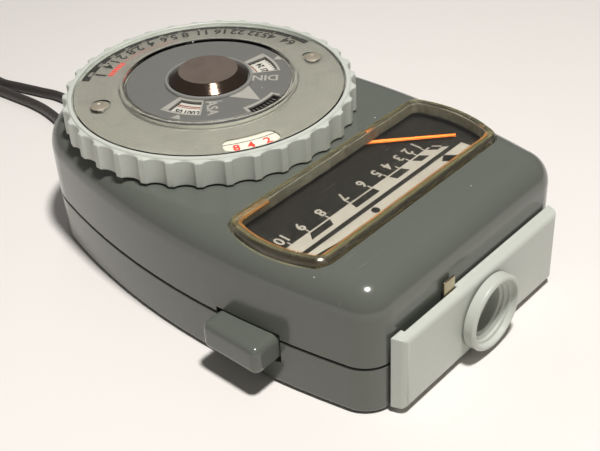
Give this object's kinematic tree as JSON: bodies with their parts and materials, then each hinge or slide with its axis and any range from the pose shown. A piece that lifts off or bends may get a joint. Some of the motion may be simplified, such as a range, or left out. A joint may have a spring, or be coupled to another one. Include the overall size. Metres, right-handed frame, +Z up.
{
  "type": "handheld light meter",
  "caption": "Palm-sized photographic exposure meter with a needle window, turning calculator dial, front sensor tube, side button and wrist cord.",
  "frame": {"origin": "on the calculator dial's axis, in the plane of the flat underside the meter stands on", "axes": "+Z up through the dial, -Y the way the sensor looks, -X the side with the push button"},
  "size_m": [0.059, 0.1999, 0.0301],
  "materials": {
    "housing": "glossy dark grey-green moulded plastic",
    "pale_plastic": "satin pale grey-green moulded plastic",
    "clear_acrylic": "polished clear acrylic, slightly yellowed at the edges",
    "steel": "bright steel",
    "brass": "plain brass",
    "silver_metal": "satin anodised plate with printed scales",
    "charcoal": "glossy charcoal with silver print",
    "hub": "dark mirror cap with a bright bevel",
    "black_plastic": "black moulded plastic",
    "white_card": "printed white plate",
    "copper": "varnished copper winding",
    "needle_orange": "orange-red paint",
    "board_green": "circuit board laminate",
    "blue_plastic": "moulded component",
    "red_part": "lacquered component",
    "cord_braid": "dark brown braided cord"
  },
  "bodies": {
    "housing": {"upper_housing": "housing", "lower_housing": "housing", "housing_screw_1": "steel", "housing_screw_2": "steel", "housing_screw_3": "steel", "meter_window": "clear_acrylic", "front_plate": "pale_plastic", "plate_screw_left": "steel", "plate_screw_right": "steel", "sensor_tube": "pale_plastic", "sensor_clip": "steel", "cell_window": "clear_acrylic", "photocell": "red_part", "range_switch": "black_plastic", "button_spring": "steel", "switch_block": "black_plastic", "switch_blade_front": "brass", "switch_blade_rear": "brass", "circuit_board": "board_green", "trimmer_low": "blue_plastic", "trimmer_high": "blue_plastic", "range_resistor": "red_part", "battery_contact_lower": "brass", "battery": "steel", "battery_contact_upper": "brass", "battery_lead_plus": "red_part", "battery_lead_minus": "black_plastic", "movement_core": "steel", "movement_yoke": "steel", "upper_bridge": "brass", "lower_bridge": "brass", "upper_jewel_screw": "brass", "lower_jewel_screw": "brass", "scale_plate": "white_card", "dial_bush": "brass", "bush_nut": "brass", "strap_anchor": "black_plastic", "wrist_cord": "cord_braid"},
    "dial": {"dial_ring": "pale_plastic", "aperture_plate": "silver_metal", "dial_cover": "clear_acrylic", "film_speed_scale": "white_card", "cover_rivet_1": "steel", "cover_rivet_2": "steel"},
    "film_dial": {"hub_cap": "hub", "film_speed_disc": "charcoal", "shutter_scale_disc": "black_plastic", "dial_spindle": "steel", "wave_washer": "steel", "spindle_clip": "steel"},
    "meter_needle": {"needle": "needle_orange", "moving_coil": "copper", "upper_staff": "steel", "lower_staff": "steel", "upper_hairspring": "brass", "lower_hairspring": "brass"},
    "range_tab": {"range_slider": "steel"},
    "button": {"push_button": "housing"},
    "battery_door": {"battery_cover": "housing"},
    "zero_adjuster": {"zero_adjust_screw": "brass"}
  },
  "joints": [
    {"name": "dial_turn", "type": "hinge", "parent": "housing", "child": "dial", "pos_m": [0, 0, 0.0232], "axis": [0, 0, 1], "continuous": true},
    {"name": "film_speed_turn", "type": "hinge", "parent": "housing", "child": "film_dial", "pos_m": [0, 0, 0.0277], "axis": [0, 0, 1], "range_deg": [-150, 150]},
    {"name": "needle_swing", "type": "hinge", "parent": "housing", "child": "meter_needle", "pos_m": [0, -0.0172, 0.0168], "axis": [0, 0, -1], "range_deg": [0, 92], "stiffness_Nm_per_rad": 0.0001},
    {"name": "range_slide", "type": "slide", "parent": "housing", "child": "range_tab", "axis": [-1, 0, 0], "range_m": [0, 0.0095]},
    {"name": "button_press", "type": "slide", "parent": "housing", "child": "button", "axis": [1, 0, 0], "range_m": [0, 0.0018], "stiffness_N_per_m": 600, "deforming": ["button_spring"]},
    {"name": "battery_cover_turn", "type": "hinge", "parent": "housing", "child": "battery_door", "pos_m": [0.011, 0.012, 0.001], "axis": [0, 0, -1], "range_deg": [0, 90]},
    {"name": "zero_adjust_turn", "type": "hinge", "parent": "housing", "child": "zero_adjuster", "pos_m": [0, -0.0172, 0.002], "axis": [0, 0, -1], "range_deg": [-45, 45]}
  ]
}
